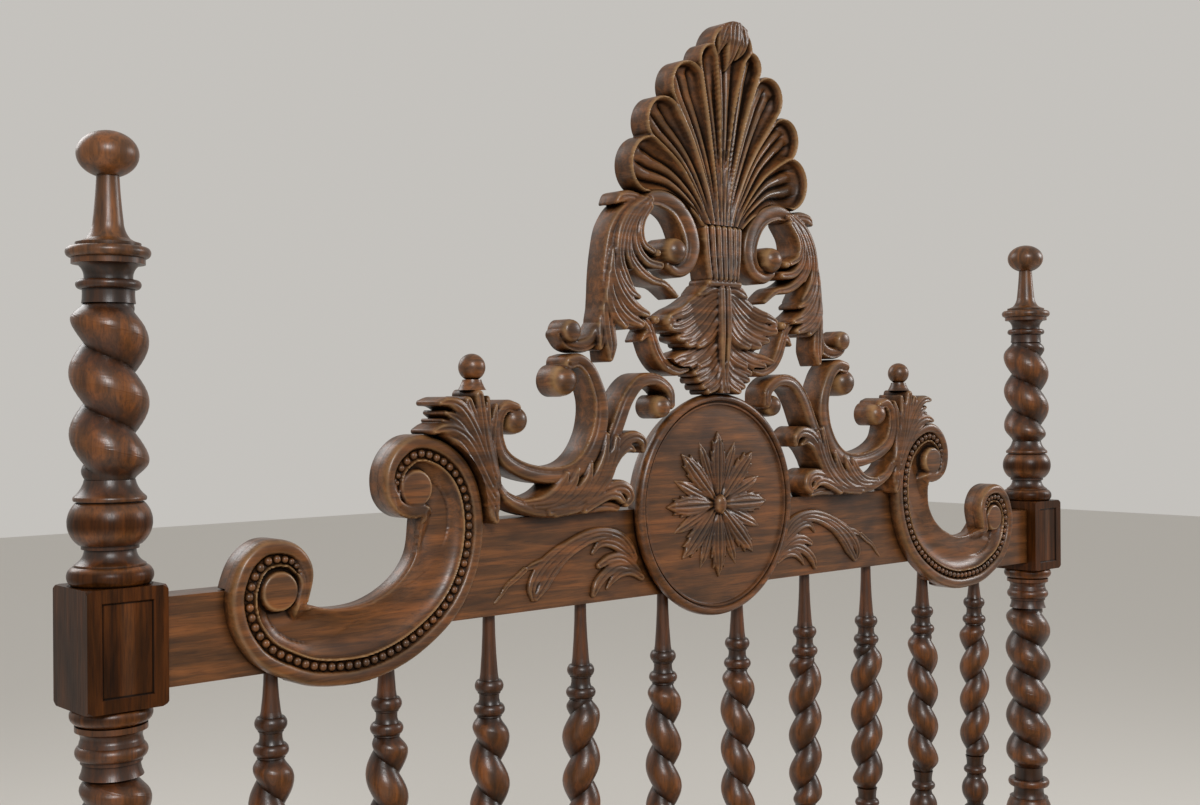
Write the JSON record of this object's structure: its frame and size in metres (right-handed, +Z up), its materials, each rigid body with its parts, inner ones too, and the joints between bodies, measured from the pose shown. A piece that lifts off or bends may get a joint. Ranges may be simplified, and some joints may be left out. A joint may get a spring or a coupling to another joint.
{
  "type": "bed frame",
  "caption": "Carved wooden bed frame with barley-twist posts and spindles, a scrolled headboard with a shell crest, a low footboard, side rails and loose slats.",
  "frame": {"origin": "on the floor under the middle of the bed", "axes": "+X to the right as seen from the foot of the bed, +Y towards the headboard, +Z up"},
  "size_m": [1.5744, 2.1342, 1.807],
  "materials": {
    "turned_wood": "old waxed dark hardwood",
    "carved_wood": "old waxed dark hardwood, worn on the edges",
    "plain_wood": "bare planed softwood",
    "steel": "dull steel"
  },
  "bodies": {
    "bed_frame": {"bed_bolt_nuts": "steel", "bed_bolts": "steel", "crest_ball_left": "carved_wood", "crest_ball_right": "carved_wood", "crest_lower_scroll_left": "carved_wood", "crest_lower_scroll_right": "carved_wood", "crest_pendant": "carved_wood", "crest_shell": "carved_wood", "crest_upper_scroll_left": "carved_wood", "crest_upper_scroll_right": "carved_wood", "footboard_finial_left": "turned_wood", "footboard_finial_right": "turned_wood", "footboard_lower_rail": "turned_wood", "footboard_post_left": "turned_wood", "footboard_post_right": "turned_wood", "footboard_spindle_01": "turned_wood", "footboard_spindle_02": "turned_wood", "footboard_spindle_03": "turned_wood", "footboard_spindle_04": "turned_wood", "footboard_spindle_05": "turned_wood", "footboard_spindle_06": "turned_wood", "footboard_spindle_07": "turned_wood", "footboard_spindle_08": "turned_wood", "footboard_spindle_09": "turned_wood", "footboard_spindle_10": "turned_wood", "footboard_top_rail": "turned_wood", "headboard_finial_left": "turned_wood", "headboard_finial_right": "turned_wood", "headboard_lower_rail": "turned_wood", "headboard_post_left": "turned_wood", "headboard_post_right": "turned_wood", "headboard_spindle_01": "turned_wood", "headboard_spindle_02": "turned_wood", "headboard_spindle_03": "turned_wood", "headboard_spindle_04": "turned_wood", "headboard_spindle_05": "turned_wood", "headboard_spindle_06": "turned_wood", "headboard_spindle_07": "turned_wood", "headboard_spindle_08": "turned_wood", "headboard_spindle_09": "turned_wood", "headboard_spindle_10": "turned_wood", "headboard_top_rail": "turned_wood", "medallion_disc": "carved_wood", "medallion_rosette": "carved_wood", "scroll_bracket_left": "carved_wood", "scroll_bracket_right": "carved_wood", "side_rail_left": "turned_wood", "side_rail_right": "turned_wood", "slat_ledger_left": "plain_wood", "slat_ledger_right": "plain_wood"},
    "slat_01": {"slat_01": "plain_wood"},
    "slat_02": {"slat_02": "plain_wood"},
    "slat_03": {"slat_03": "plain_wood"},
    "slat_04": {"slat_04": "plain_wood"},
    "slat_05": {"slat_05": "plain_wood"},
    "slat_06": {"slat_06": "plain_wood"},
    "slat_07": {"slat_07": "plain_wood"},
    "slat_08": {"slat_08": "plain_wood"},
    "slat_09": {"slat_09": "plain_wood"}
  },
  "joints": [
    {"name": "slat_01_lift", "type": "slide", "parent": "bed_frame", "child": "slat_01", "axis": [0, 0, 1], "range_m": [0, 0.15]},
    {"name": "slat_02_lift", "type": "slide", "parent": "bed_frame", "child": "slat_02", "axis": [0, 0, 1], "range_m": [0, 0.15]},
    {"name": "slat_03_lift", "type": "slide", "parent": "bed_frame", "child": "slat_03", "axis": [0, 0, 1], "range_m": [0, 0.15]},
    {"name": "slat_04_lift", "type": "slide", "parent": "bed_frame", "child": "slat_04", "axis": [0, 0, 1], "range_m": [0, 0.15]},
    {"name": "slat_05_lift", "type": "slide", "parent": "bed_frame", "child": "slat_05", "axis": [0, 0, 1], "range_m": [0, 0.15]},
    {"name": "slat_06_lift", "type": "slide", "parent": "bed_frame", "child": "slat_06", "axis": [0, 0, 1], "range_m": [0, 0.15]},
    {"name": "slat_07_lift", "type": "slide", "parent": "bed_frame", "child": "slat_07", "axis": [0, 0, 1], "range_m": [0, 0.15]},
    {"name": "slat_08_lift", "type": "slide", "parent": "bed_frame", "child": "slat_08", "axis": [0, 0, 1], "range_m": [0, 0.15]},
    {"name": "slat_09_lift", "type": "slide", "parent": "bed_frame", "child": "slat_09", "axis": [0, 0, 1], "range_m": [0, 0.15]}
  ]
}
